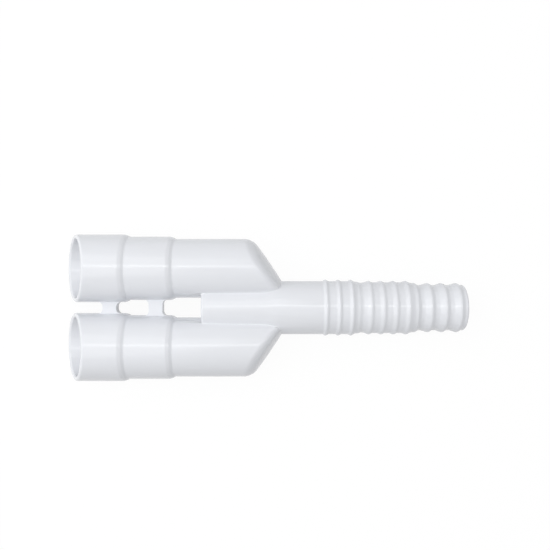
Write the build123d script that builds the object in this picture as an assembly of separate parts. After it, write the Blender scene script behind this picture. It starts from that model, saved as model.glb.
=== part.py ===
"""Tubing Y connector: two parallel stepped sockets that run into one ribbed hose spigot.

The real thing is a single injection-moulded piece, so the model is one solid. Its frame has
+X along the spigot towards the tip, Y across the two sockets and +Z up. The origin lies on the
spigot's axis, where the slanted ends of the sockets meet the spigot's side. Sizes are in mm.
"""
from build123d import *
import os
from collections import namedtuple
from math import cos, pi, radians, sin, sqrt, tan

# Sockets: three sections each, widest at the mouth, with a cone from one section to the next.
SOCKET_SPACING = 27.7          # from one socket axis to the other
MOUTH_DIAMETER = 23.9          # outside diameters of the three sections
MIDDLE_DIAMETER = 22.4
INNER_DIAMETER = 20.8
SOCKET_WALL = 1.5
MOUTH_LENGTH = 18.45           # on the axis, from the slanted mouth to the first cone
MIDDLE_LENGTH = 14.75
INNER_LENGTH = 26.9            # on the outer side, from the second cone to the slanted end
CONE_LENGTH = 1.4
SHOULDER_BEVEL = 0.6           # breaks the convex edge where each cone begins
MOUTH_SLANT = 27.0             # degrees between the mouth's plane and a square cut
RIM_CHAMFER = 0.45             # breaks both edges of the mouth
STOP_DEPTH = 22.5              # from the second cone to the stop for a tube in the inner section
STOP_LIP = 0.8                 # how far the stop stands in from the bore

# Slanted ends, where each socket closes on to the spigot.
END_SLANT = 55.3               # degrees between the slanted end and the spigot's axis
END_CROWN = 0.25               # bulge of the slanted end
END_RADIUS = 2.9               # rounding of the slanted end into the socket's side, in three flats
CAVITY_END_WALL = 2.6          # at the slanted end, whose inner corner is left sharp

# Core: the spigot's bore runs on between the sockets, up to a closed end.
CORE_LENGTH = 27.7             # from the origin back to the closed end
CORE_DRAFT = 1.2               # how much narrower the closed end is than the core's root
CORE_FLARE = 1.95              # how much narrower the core's root is than the spigot
CORE_FLARE_LENGTH = 4.0
CORE_END_WALL = 1.6
CORE_END_CHAMFER = 0.6
BORE_DIAMETER = 12.6

# Webs: two flat plates that tie the sockets together, one behind each cone.
WEB_WIDTH = 4.8
WEB_THICKNESS = 3.8
WEB_SETBACK = 3.2              # from each web to the cone
WEB_FILLET = 1.7               # between the webs and the sockets
WEB_SINK = 0.05                # how far the webs' flared ends sink into the sockets

# Spigot: a plain tube, then three groups of ribs, each on a tube of its own diameter.
SPIGOT_DIAMETER = 18.75
PLAIN_LENGTH = 14.5            # from the origin to the foot of the first rib
CREST_WIDTH = 0.5              # flat along the top of each rib
TIP_LENGTH = 1.3               # from the foot of the last rib to the tip
TIP_CHAMFER = 0.4
RibGroup = namedtuple("RibGroup", "tube rib count pitch rise fall")
FIRST_RIBS = RibGroup(tube=SPIGOT_DIAMETER, rib=19.7, count=3, pitch=4.42, rise=0.9, fall=1.0)
MIDDLE_RIBS = RibGroup(tube=18.0, rib=18.85, count=4, pitch=4.32, rise=1.3, fall=1.1)
TIP_RIBS = RibGroup(tube=16.0, rib=17.35, count=3, pitch=5.03, rise=2.3, fall=1.4)

# Between two groups the tube steps down: a bevel, a short collar, a cone and a run to the next.
Step = namedtuple("Step", "bevel collar_drop collar cone neck run")
FIRST_STEP = Step(bevel=0.7, collar_drop=0.5, collar=0.7, cone=1.15, neck=17.5, run=1.5)
SECOND_STEP = Step(bevel=1.0, collar_drop=0.6, collar=1.0, cone=1.15, neck=16.0, run=1.15)

# Places along X that follow from the sizes above. A socket is made on the X axis itself.
mouth_radius = MOUTH_DIAMETER / 2
middle_radius = MIDDLE_DIAMETER / 2
inner_radius = INNER_DIAMETER / 2
slant = radians(END_SLANT)
end_near = Vector(0, (SPIGOT_DIAMETER - SOCKET_SPACING) / 2)
end_far = Vector((end_near.Y - inner_radius) / tan(slant), inner_radius)
inner_start = end_far.X - INNER_LENGTH
middle_end = inner_start - CONE_LENGTH
middle_start = middle_end - MIDDLE_LENGTH
mouth_end = middle_start - CONE_LENGTH
mouth_x = mouth_end - MOUTH_LENGTH
beyond = MOUTH_DIAMETER        # how far a blank runs past the cut that trims it


def corners_at(face, points):
    """Vertices of a flat face that lie at the given points."""
    return [v for v in face.vertices() if any((v.center() - Vector(p)).length < 1e-6 for p in points)]


def end_limit(setback):
    """Upright cylinder whose side is the crowned, slanted end, moved inward by the setback."""
    chord = (end_far - end_near).length
    radius = chord**2 / (8 * END_CROWN) + END_CROWN / 2
    centre = (end_near + end_far) / 2 + Vector(sin(slant), cos(slant)) * (END_CROWN - radius)
    return Pos(centre.X, centre.Y) * Cylinder(radius - setback, 2 * MOUTH_DIAMETER)


def rounded_rim(face, radius):
    """Round the rim of an end face with three flats, which suit the radius where the edge is square."""
    first_cut = (2 - sqrt(2)) * radius
    second_cut = (tan(pi / 8) - tan(pi / 16)) * radius
    body = chamfer(face.edges(), first_cut)
    flat = body.faces().filter_by(GeomType.BSPLINE)[0]
    return chamfer(flat.edges(), second_cut)


def socket():
    """One socket's outside, cut off at the slanted mouth: its upper lip is set back."""
    shoulders = [(mouth_end, mouth_radius), (middle_end, middle_radius)]
    outline = [
        (mouth_x - beyond, 0),
        (mouth_x - beyond, mouth_radius),
        shoulders[0],
        (middle_start, middle_radius),
        shoulders[1],
        (inner_start, inner_radius),
        (beyond, inner_radius),
        (beyond, 0),
    ]
    profile = make_face(Polyline(*outline, close=True))
    profile = chamfer(corners_at(profile, shoulders), SHOULDER_BEVEL)
    rod = revolve(profile, Axis.X) & end_limit(0)
    rod = rounded_rim(rod.faces().sort_by(Axis.X)[-1], END_RADIUS)
    tilt = radians(MOUTH_SLANT)
    mouth = Plane((mouth_x, 0, 0), x_dir=(0, 1, 0), z_dir=(-cos(tilt), 0, sin(tilt)))
    rod = split(rod, bisect_by=mouth, keep=Keep.BOTTOM)
    return chamfer(rod.faces().sort_by(Axis.X)[0].edges(), RIM_CHAMFER)


def socket_cavity():
    """The bore inside one socket: a flat step at each cone, a stop, and a passage to the slanted end."""
    stop_x = middle_end + STOP_DEPTH
    outline = [(mouth_x - beyond, 0)]
    start = mouth_x - beyond
    for end, radius in ((mouth_end, mouth_radius), (middle_end, middle_radius), (stop_x, inner_radius)):
        outline += [(start, radius - SOCKET_WALL), (end, radius - SOCKET_WALL)]
        start = end
    passage_radius = inner_radius - SOCKET_WALL - STOP_LIP
    outline += [(stop_x, passage_radius), (beyond, passage_radius), (beyond, 0)]
    return revolve(make_face(Polyline(*outline, close=True)), Axis.X) & end_limit(CAVITY_END_WALL)


def ribs(start, group):
    """Outline of a group of ribs, from the foot of the first to the foot of the last."""
    outline = []
    for i in range(group.count):
        crest = start + group.rise + i * group.pitch
        outline += [
            (crest - group.rise, group.tube / 2),
            (crest - CREST_WIDTH / 2, group.rib / 2),
            (crest + CREST_WIDTH / 2, group.rib / 2),
            (crest + group.fall, group.tube / 2),
        ]
    return outline


def step_down(start, group, step):
    """Outline from the last foot of a group down to the neck before the next group."""
    collar_radius = (group.tube - step.collar_drop) / 2
    collar_start = start + step.bevel
    collar_end = collar_start + step.collar
    neck = (collar_end + step.cone, step.neck / 2)
    return [(collar_start, collar_radius), (collar_end, collar_radius), neck]


def spigot_and_core():
    """The core, the plain tube and the three rib groups, turned in one piece and solid inside."""
    core_radius = (SPIGOT_DIAMETER - CORE_FLARE) / 2
    end_radius = core_radius - CORE_DRAFT / 2
    outline = [
        (-CORE_LENGTH, 0),
        (-CORE_LENGTH, end_radius - CORE_END_CHAMFER),
        (CORE_END_CHAMFER - CORE_LENGTH, end_radius),
        (-CORE_FLARE_LENGTH, core_radius),
        (0, SPIGOT_DIAMETER / 2),
    ]
    start = PLAIN_LENGTH
    for group, step in ((FIRST_RIBS, FIRST_STEP), (MIDDLE_RIBS, SECOND_STEP), (TIP_RIBS, None)):
        outline += ribs(start, group)
        start = outline[-1][0]
        if step:
            outline += step_down(start, group, step)
            start = outline[-1][0] + step.run
    tip_x = start + TIP_LENGTH
    tip_radius = TIP_RIBS.tube / 2
    outline += [(tip_x - TIP_CHAMFER, tip_radius), (tip_x, tip_radius - TIP_CHAMFER), (tip_x, 0)]
    return revolve(make_face(Polyline(*outline, close=True)), Axis.X)


def web(cone_start, radius):
    """Flat plate from socket to socket, flared on to them, behind the cone that starts there."""
    half_thickness = WEB_THICKNESS / 2
    seat = SOCKET_SPACING / 2 - (radius**2 - half_thickness**2) ** 0.5 + WEB_SINK
    flare = min(WEB_FILLET, 0.9 * seat)
    flange_width = WEB_WIDTH + 3 * flare
    outline = Rectangle(WEB_WIDTH, 2 * seat)
    for side in (1, -1):
        outline += Pos(0, side * (seat + SOCKET_WALL / 2)) * Rectangle(flange_width, SOCKET_WALL)
    corners = [(x * WEB_WIDTH / 2, y * seat) for x in (1, -1) for y in (1, -1)]
    outline = fillet(corners_at(outline, corners), flare)
    return Pos(cone_start - WEB_SETBACK - WEB_WIDTH / 2) * extrude(outline, half_thickness, both=True)


def bore(tip_x):
    """Straight bore from the tip, opened out a little there, to just inside the closed end."""
    radius = BORE_DIAMETER / 2
    outline = [
        (CORE_END_WALL - CORE_LENGTH, 0),
        (CORE_END_WALL - CORE_LENGTH, radius),
        (tip_x - TIP_CHAMFER, radius),
        (tip_x, radius + TIP_CHAMFER),
        (tip_x, 0),
    ]
    return revolve(make_face(Polyline(*outline, close=True)), Axis.X)


def connector():
    """The whole moulding: the solid forms joined, then hollowed, then the mouths' inner edges broken."""
    upper_socket = Pos(0, SOCKET_SPACING / 2) * socket()
    lower_socket = upper_socket.mirror(Plane.XZ)
    core = spigot_and_core()
    tip_x = core.bounding_box().max.X
    body = upper_socket + lower_socket + core
    body += web(mouth_end, mouth_radius)
    body += web(middle_end, middle_radius)

    cavity = Pos(0, SOCKET_SPACING / 2) * socket_cavity()
    body -= cavity
    body -= cavity.mirror(Plane.XZ)
    body -= bore(tip_x)

    rims = body.faces().filter_by(GeomType.PLANE).sort_by(Axis.X)[:2]
    return chamfer([rim.edges().sort_by(SortBy.LENGTH)[0] for rim in rims], RIM_CHAMFER)


os.makedirs("parts", exist_ok=True)
export_step(connector(), "parts/y_connector.step")
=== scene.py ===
"""Dressed scene of the tubing Y connector: one white moulded piece, lying on a plain pale floor."""
import bmesh
import bpy
import math
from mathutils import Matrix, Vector


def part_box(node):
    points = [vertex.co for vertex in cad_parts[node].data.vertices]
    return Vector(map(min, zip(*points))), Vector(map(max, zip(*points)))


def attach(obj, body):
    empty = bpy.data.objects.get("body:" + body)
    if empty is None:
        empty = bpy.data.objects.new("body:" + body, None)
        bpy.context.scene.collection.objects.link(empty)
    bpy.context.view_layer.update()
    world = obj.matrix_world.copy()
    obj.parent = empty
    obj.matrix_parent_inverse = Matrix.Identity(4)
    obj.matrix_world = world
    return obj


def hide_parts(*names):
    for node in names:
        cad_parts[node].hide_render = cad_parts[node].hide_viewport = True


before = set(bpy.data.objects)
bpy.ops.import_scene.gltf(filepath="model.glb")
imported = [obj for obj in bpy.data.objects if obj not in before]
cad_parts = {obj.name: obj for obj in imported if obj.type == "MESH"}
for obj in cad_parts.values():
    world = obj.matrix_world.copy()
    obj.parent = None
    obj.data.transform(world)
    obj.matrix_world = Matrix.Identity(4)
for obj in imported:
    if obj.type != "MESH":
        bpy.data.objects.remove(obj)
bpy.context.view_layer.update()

# The connector: a single injection-moulded piece of glossy white plastic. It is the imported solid
# with its facets joined into smooth faces, the creases that show softly rounded, as a polished
# mould leaves them, and its slanted ends leaning back a little.
MERGE_DISTANCE = 1e-6
FLAT_ANGLE = math.radians(1.5)
CREASE_ANGLE = math.radians(12)
SHARP_ANGLE = math.radians(33)
WIDEST_ROUNDING = 0.0009

# Forms of the moulding that the places of its creases are measured from, in metres.
SOCKET_AXIS = 0.01385
MOUTH_X = -0.0732
MOUTH_SLANT = math.radians(27)
END_SLANT = math.radians(55.3)
SPIGOT_RADIUS = 0.009375

# Each kind of crease: where it lies, and how far its rounding reaches to each side.
RIM_DEPTH = 0.0008
RIM_ROUNDING = 0.00024
SPIGOT_INSIDE = 0.0067
MOUTH_SECTION_END = -0.053
MOUTH_SECTION_INSIDE = 0.0107
SOCKET_INSIDE = 0.0101
RIBS_START = 0.0015
RIB_CREST_ROUNDING = 0.0002
RIB_FOOT_ROUNDING = 0.0003
WEBS_END = -0.038
WEB_REACH = 0.0045
WEB_TOP = 0.0022
WEB_FACE = 0.00185
WEB_EDGE_ROUNDING = 0.00075
WEB_ROOT_ROUNDING = 0.00045
SHOULDERS_END = -0.036
SHOULDER_ROUNDING = 0.00025
FLARE_START = -0.0045
SOCKET_OUTSIDE = 0.01045
END_RIM_DEPTH = 0.0045
END_RIM_INSIDE = 0.0102
CORE_ROUNDING = 0.00025
VALLEY_ROUNDING = 0.0005
JUNCTION_DEPTH = 0.0006


def from_socket(spot):
    """Distance of a place from the axis of its socket."""
    return math.hypot(abs(spot.y) - SOCKET_AXIS, spot.z)


def from_spigot(spot):
    """Distance of a place from the axis of the spigot."""
    return math.hypot(spot.y, spot.z)


def behind_end(spot):
    """Distance of a place behind the slanted end of its socket, square to that end."""
    return -spot.x * math.sin(END_SLANT) - (abs(spot.y) - SPIGOT_RADIUS) * math.cos(END_SLANT)


def behind_mouth(spot):
    """Distance of a place behind the slanted mouth of its socket, square to that mouth."""
    return (spot.x - MOUTH_X) * math.cos(MOUTH_SLANT) - spot.z * math.sin(MOUTH_SLANT)


def rounding_at(edge):
    """How far the rounding of a crease reaches to each side, by where the crease lies."""
    spot = (edge.verts[0].co + edge.verts[1].co) / 2
    if abs(behind_mouth(spot)) < RIM_DEPTH:
        return RIM_ROUNDING
    if from_spigot(spot) < SPIGOT_INSIDE:
        return 0
    if spot.x > RIBS_START:
        return RIB_CREST_ROUNDING if edge.is_convex else RIB_FOOT_ROUNDING
    if from_socket(spot) < (MOUTH_SECTION_INSIDE if spot.x < MOUTH_SECTION_END else SOCKET_INSIDE):
        return 0
    if abs(spot.y) < WEB_REACH and abs(spot.z) < WEB_TOP and spot.x < WEBS_END:
        if min(abs(vert.co.z) for vert in edge.verts) <= WEB_FACE:
            return 0
        return WEB_EDGE_ROUNDING if edge.is_convex else WEB_ROOT_ROUNDING
    if spot.x < SHOULDERS_END:
        return SHOULDER_ROUNDING
    if from_socket(spot) > SOCKET_OUTSIDE and spot.x > FLARE_START:
        return 0
    if edge.is_convex:
        on_end_rim = behind_end(spot) < END_RIM_DEPTH and from_socket(spot) > END_RIM_INSIDE
        return 0 if on_end_rim else CORE_ROUNDING
    return WIDEST_ROUNDING if behind_end(spot) < JUNCTION_DEPTH else VALLEY_ROUNDING


moulding_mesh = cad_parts["y_connector"].data.copy()
moulding = bpy.data.objects.new("moulding", moulding_mesh)
bpy.context.scene.collection.objects.link(moulding)
skin = bmesh.new()
skin.from_mesh(moulding_mesh)
bmesh.ops.remove_doubles(skin, verts=skin.verts, dist=MERGE_DISTANCE)
bmesh.ops.dissolve_limit(skin, angle_limit=FLAT_ANGLE, verts=skin.verts, edges=skin.edges)
rounding_share = skin.edges.layers.float.new("bevel_weight_edge")
for edge in skin.edges:
    turn = edge.calc_face_angle()
    if turn > CREASE_ANGLE:
        edge[rounding_share] = rounding_at(edge) / WIDEST_ROUNDING
        edge.smooth = edge[rounding_share] > 0 or turn < SHARP_ANGLE
for face in skin.faces:
    face.smooth = True

# The slanted ends lean back above and below mid height. Cuts at a few levels, through both sides
# of each end's wall, give them the points to do so.
END_WALL_DEPTH = 0.006
SQUARE_TO_END = 0.97
END_LEVELS = (0, 0.0025, -0.0025, 0.005, -0.005, 0.0075, -0.0075)


def on_end(face):
    """Whether a face is one side of the wall that closes a socket with its slanted end."""
    centre = face.calc_center_median()
    outwards = face.normal.y * math.copysign(1, centre.y)
    square = face.normal.x * math.sin(END_SLANT) + outwards * math.cos(END_SLANT)
    return abs(square) > SQUARE_TO_END and behind_end(centre) < END_WALL_DEPTH


ends = [face for face in skin.faces if on_end(face)]
for level in END_LEVELS:
    edges = {edge for face in ends for edge in face.edges}
    verts = {vert for face in ends for vert in face.verts}
    cut = bmesh.ops.bisect_plane(
        skin, geom=[*ends, *edges, *verts], plane_co=(0, 0, level), plane_no=(0, 0, 1)
    )
    ends = [piece for piece in cut["geom"] if isinstance(piece, bmesh.types.BMFace)]

# The flare at the core's root is drawn out at both of its rings, and blends into the spigot. Each
# lean is full near the end and fades behind it, and starts softly at mid height.
FLARE_RINGS = ((0, 0.0025), (-0.004, -0.002))
RING_WIDTH = 0.00005
FLARE_OUTSIDE = 0.01043
FLARE_INSIDE = 0.008
END_LEAN = 0.0033
LEAN_BEFORE_END = -0.0006
LEAN_REACH = 0.009
LEAN_FADE = 0.006
LEAN_SOFTNESS = 0.003
LEAN_RISE = 0.00782
LEAN_OUTSIDE = 0.01042
for vert in skin.verts:
    if from_socket(vert.co) > FLARE_OUTSIDE and from_spigot(vert.co) > FLARE_INSIDE:
        for ring, shift in FLARE_RINGS:
            if abs(vert.co.x - ring) < RING_WIDTH:
                vert.co.x += shift
                break
    depth = behind_end(vert.co)
    if from_socket(vert.co) < LEAN_OUTSIDE and LEAN_BEFORE_END < depth < LEAN_REACH:
        near_end = min((LEAN_REACH - depth) / LEAN_FADE, 1)
        height = math.hypot(vert.co.z, LEAN_SOFTNESS) - LEAN_SOFTNESS
        vert.co.x -= near_end * END_LEAN * height / LEAN_RISE
skin.to_mesh(moulding_mesh)
skin.free()

rounding = moulding.modifiers.new("rounded creases", "BEVEL")
rounding.limit_method = "WEIGHT"
rounding.width = WIDEST_ROUNDING
rounding.segments = 3
rounding.use_clamp_overlap = False
shading = moulding.modifiers.new("even shading", "WEIGHTED_NORMAL")
shading.mode = "FACE_AREA"
shading.weight = 50
shading.keep_sharp = True

PLASTIC_IOR = 1.47
white = bpy.data.materials.new("glossy white plastic")
white.use_nodes = True
nodes, links = white.node_tree.nodes, white.node_tree.links
shader = nodes["Principled BSDF"]
shader.inputs["IOR"].default_value = PLASTIC_IOR
place = nodes.new("ShaderNodeTexCoord")

# Faint flow marks run along the piece, a touch darker or paler and a touch glossier or duller.
FLOW_STRETCH = (0.3, 1, 1)
FLOW_SCALE = 120
FLOW_LOW = 0.3
FLOW_HIGH = 0.7
DARKER_WHITE = (0.808, 0.823, 0.86, 1)
PALER_WHITE = (0.828, 0.845, 0.885, 1)
GLOSSIEST = 0.15
DULLEST = 0.2
along = nodes.new("ShaderNodeMapping")
along.inputs["Scale"].default_value = FLOW_STRETCH
links.new(place.outputs["Object"], along.inputs["Vector"])
flow = nodes.new("ShaderNodeTexNoise")
flow.inputs["Scale"].default_value = FLOW_SCALE
flow.inputs["Detail"].default_value = 4
flow.inputs["Distortion"].default_value = 0.4
links.new(along.outputs["Vector"], flow.inputs["Vector"])
tint = nodes.new("ShaderNodeValToRGB")
tint.color_ramp.elements[0].position = FLOW_LOW
tint.color_ramp.elements[0].color = DARKER_WHITE
tint.color_ramp.elements[1].position = FLOW_HIGH
tint.color_ramp.elements[1].color = PALER_WHITE
links.new(flow.outputs["Fac"], tint.inputs["Fac"])
links.new(tint.outputs["Color"], shader.inputs["Base Color"])
gloss = nodes.new("ShaderNodeMapRange")
gloss.inputs["From Min"].default_value = FLOW_LOW
gloss.inputs["From Max"].default_value = FLOW_HIGH
gloss.inputs["To Min"].default_value = GLOSSIEST
gloss.inputs["To Max"].default_value = DULLEST
links.new(flow.outputs["Fac"], gloss.inputs["Value"])
links.new(gloss.outputs["Result"], shader.inputs["Roughness"])

# The polished mould leaves a very slight orange peel, and its two halves a fine line at z = 0.
PEEL_SCALE = 700
PEEL_HEIGHT = 0.0001
PARTING_LINE_HALF_WIDTH = 0.00012
PARTING_LINE_HEIGHT = 0.00005
peel = nodes.new("ShaderNodeTexNoise")
peel.inputs["Scale"].default_value = PEEL_SCALE
peel.inputs["Detail"].default_value = 2
links.new(place.outputs["Object"], peel.inputs["Vector"])
peel_bump = nodes.new("ShaderNodeBump")
peel_bump.inputs["Strength"].default_value = 0.05
peel_bump.inputs["Distance"].default_value = PEEL_HEIGHT
links.new(peel.outputs["Fac"], peel_bump.inputs["Height"])
axes = nodes.new("ShaderNodeSeparateXYZ")
links.new(place.outputs["Object"], axes.inputs["Vector"])
height = nodes.new("ShaderNodeMath")
height.operation = "ABSOLUTE"
links.new(axes.outputs["Z"], height.inputs[0])
ridge = nodes.new("ShaderNodeMapRange")
ridge.interpolation_type = "SMOOTHSTEP"
ridge.inputs["From Min"].default_value = 0
ridge.inputs["From Max"].default_value = PARTING_LINE_HALF_WIDTH
ridge.inputs["To Min"].default_value = 1
ridge.inputs["To Max"].default_value = 0
links.new(height.outputs["Value"], ridge.inputs["Value"])
line_bump = nodes.new("ShaderNodeBump")
line_bump.inputs["Strength"].default_value = 0.6
line_bump.inputs["Distance"].default_value = PARTING_LINE_HEIGHT
links.new(ridge.outputs["Result"], line_bump.inputs["Height"])
links.new(peel_bump.outputs["Normal"], line_bump.inputs["Normal"])
links.new(line_bump.outputs["Normal"], shader.inputs["Normal"])
moulding_mesh.materials.clear()
moulding_mesh.materials.append(white)
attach(moulding, "root")
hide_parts("y_connector")

# The floor: a wide plain sheet of matt white paper that the connector lies on. It shows white to
# the camera and in gloss, and keeps a little of the shadow under the part.
FLOOR_HALF_WIDTH = 1.5
FLOOR_GLOW = 1.055
GLOW_SHARE = 0.9


def backdrop_share(nodes, links):
    """1 for the rays that see a backdrop: from the camera, off a gloss or through a clear body."""
    path = nodes.new("ShaderNodeLightPath")
    total = path.outputs["Is Camera Ray"]
    for kind in ("Is Glossy Ray", "Is Transmission Ray"):
        either = nodes.new("ShaderNodeMath")
        either.operation = "MAXIMUM"
        links.new(total, either.inputs[0])
        links.new(path.outputs[kind], either.inputs[1])
        total = either.outputs["Value"]
    return total


low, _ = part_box("y_connector")
sheet = bmesh.new()
bmesh.ops.create_grid(sheet, x_segments=1, y_segments=1, size=FLOOR_HALF_WIDTH)
bmesh.ops.translate(sheet, verts=sheet.verts, vec=(0, 0, low.z))
floor_mesh = bpy.data.meshes.new("floor")
sheet.to_mesh(floor_mesh)
sheet.free()
floor = bpy.data.objects.new("floor", floor_mesh)
bpy.context.scene.collection.objects.link(floor)
paper = bpy.data.materials.new("white floor")
paper.use_nodes = True
nodes, links = paper.node_tree.nodes, paper.node_tree.links
matt = nodes["Principled BSDF"]
matt.inputs["Base Color"].default_value = (0.55, 0.55, 0.55, 1)
matt.inputs["Roughness"].default_value = 0.8
glow = nodes.new("ShaderNodeEmission")
glow.inputs["Strength"].default_value = FLOOR_GLOW
share = nodes.new("ShaderNodeMath")
share.operation = "MULTIPLY"
share.inputs[1].default_value = GLOW_SHARE
mix = nodes.new("ShaderNodeMixShader")
links.new(backdrop_share(nodes, links), share.inputs[0])
links.new(share.outputs[0], mix.inputs[0])
links.new(matt.outputs[0], mix.inputs[1])
links.new(glow.outputs[0], mix.inputs[2])
links.new(mix.outputs[0], nodes["Material Output"].inputs["Surface"])
floor_mesh.materials.append(paper)

# Studio light: a soft even surround, a broad lamp to the upper left, and a narrow strip lamp
# overhead, which draws the bright line along each tube.
SURROUND_LIGHT = 0.47
world = bpy.data.worlds.new("studio")
bpy.context.scene.world = world
world.use_nodes = True
nodes, links = world.node_tree.nodes, world.node_tree.links
surround = nodes["Background"]
surround.inputs["Color"].default_value = (1, 1, 1, 1)
surround.inputs["Strength"].default_value = SURROUND_LIGHT
backdrop = nodes.new("ShaderNodeBackground")
backdrop.inputs["Color"].default_value = (1, 1, 1, 1)
backdrop.inputs["Strength"].default_value = 1
mix = nodes.new("ShaderNodeMixShader")
links.new(backdrop_share(nodes, links), mix.inputs[0])
links.new(surround.outputs[0], mix.inputs[1])
links.new(backdrop.outputs[0], mix.inputs[2])
links.new(mix.outputs[0], nodes["World Output"].inputs["Surface"])


def lamp(name, place, target, size, power):
    """A rectangular lamp aimed at a point, with its size in metres and its power in watts."""
    light = bpy.data.lights.new(name, "AREA")
    light.shape = "RECTANGLE"
    light.size, light.size_y = size
    light.energy = power
    holder = bpy.data.objects.new(name, light)
    holder.location = place
    holder.rotation_euler = (Vector(target) - Vector(place)).to_track_quat("-Z", "Y").to_euler()
    bpy.context.scene.collection.objects.link(holder)


lamp("overhead", (-0.45, 0.12, 0.55), (-0.01, 0, 0), (1.0, 0.9), 3.55)
lamp("streak", (0.0, 0.063, 0.38), (0.0, 0, 0), (0.6, 0.01), 0.28)

# The camera: straight above, close, and a little to one side of the spigot's axis. Its lens
# gives the plane of the axes its scale in the frame.
FRAME_SIDE = 550
PIXELS_PER_MM = 2.83
CAMERA_HEIGHT = 0.219
CAMERA_X = -0.0023
CAMERA_Y = 0.0115
camera = bpy.data.cameras.new("camera")
camera.sensor_width = 36
camera.lens = camera.sensor_width * CAMERA_HEIGHT / (FRAME_SIDE / PIXELS_PER_MM / 1000)
eye = bpy.data.objects.new("camera", camera)
eye.location = (CAMERA_X, CAMERA_Y, CAMERA_HEIGHT)
bpy.context.scene.collection.objects.link(eye)
bpy.context.scene.camera = eye
bpy.context.scene.view_settings.view_transform = "Standard"
